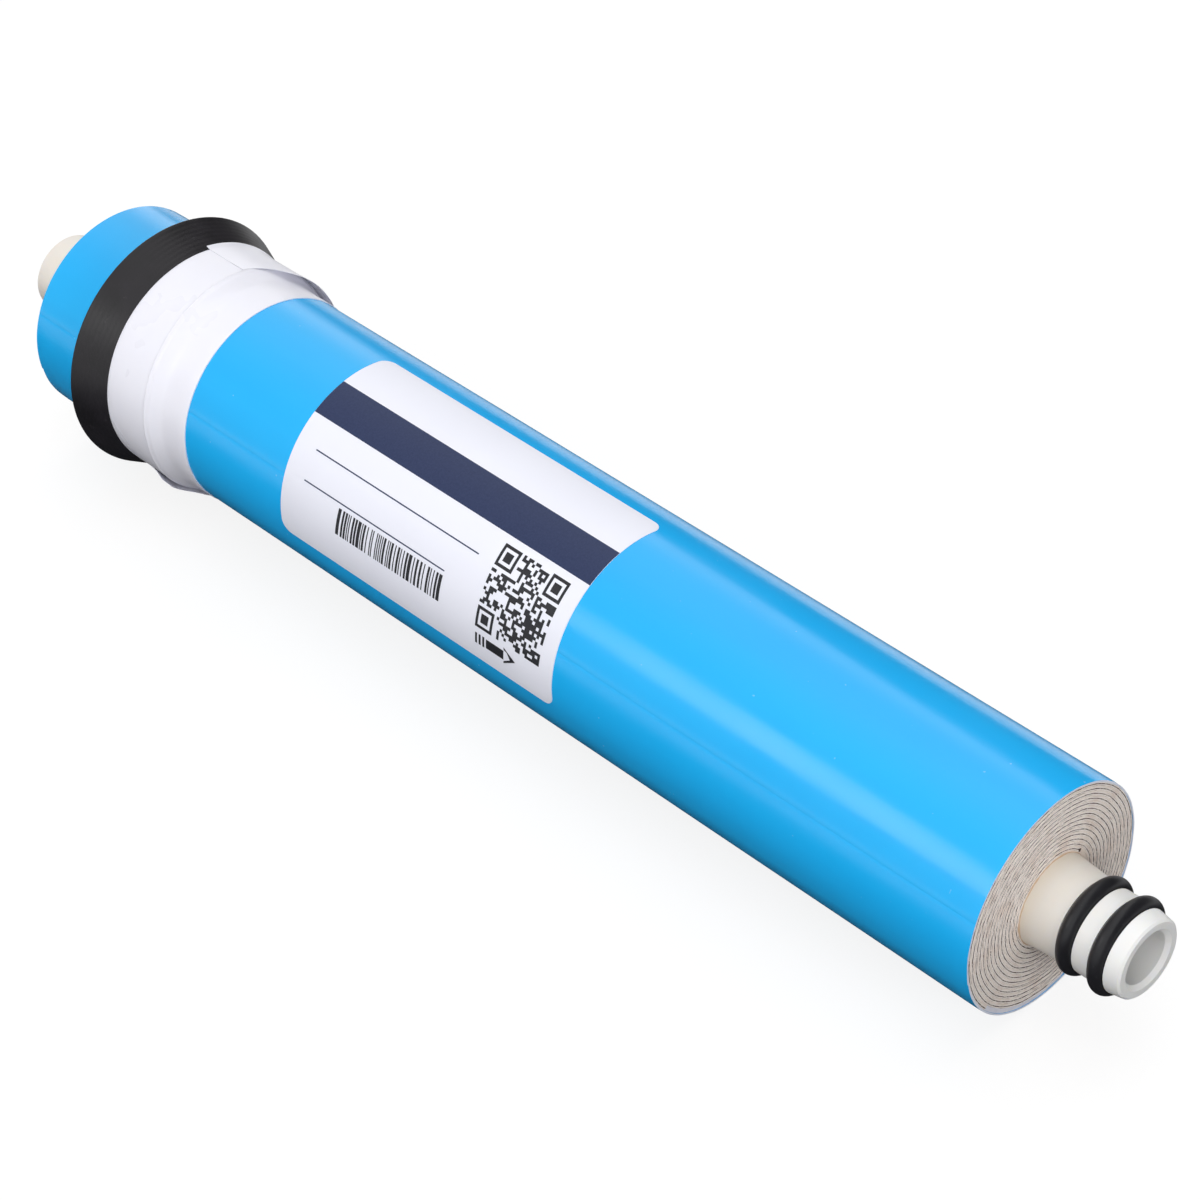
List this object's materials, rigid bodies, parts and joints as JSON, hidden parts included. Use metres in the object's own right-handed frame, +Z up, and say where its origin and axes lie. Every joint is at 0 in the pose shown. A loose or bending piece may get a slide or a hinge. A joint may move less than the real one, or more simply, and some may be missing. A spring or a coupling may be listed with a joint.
{
  "type": "reverse osmosis membrane element",
  "caption": "Spiral-wound water filter element with a double O-ring spigot, blue tape wrap, brine lip seal and blind feed stub.",
  "frame": {"origin": "centre of the feed stub's end face", "axes": "+X along the element towards the permeate outlet, +Z up as it lies"},
  "size_m": [0.298, 0.0556, 0.0556],
  "materials": {
    "tube_plastic": "satin",
    "ring_rubber": "satin",
    "seal_rubber": "matte",
    "carrier_knit": "matte",
    "membrane_film": "matte",
    "spacer_net": "matte",
    "adhesive": "satin",
    "rim_adhesive": "satin",
    "blue_tape": "gloss",
    "white_tape": "gloss",
    "label_paper": "satin"
  },
  "bodies": {
    "root": {"permeate_tube": "tube_plastic", "inner_o_ring": "ring_rubber", "outer_o_ring": "ring_rubber", "permeate_carrier": "carrier_knit", "membrane_sheet": "membrane_film", "feed_spacer": "spacer_net", "core_glue": "adhesive", "tail_glue": "rim_adhesive", "outer_wrap": "blue_tape", "brine_seal": "seal_rubber", "seal_tape": "white_tape", "label": "label_paper"}
  },
  "joints": []
}
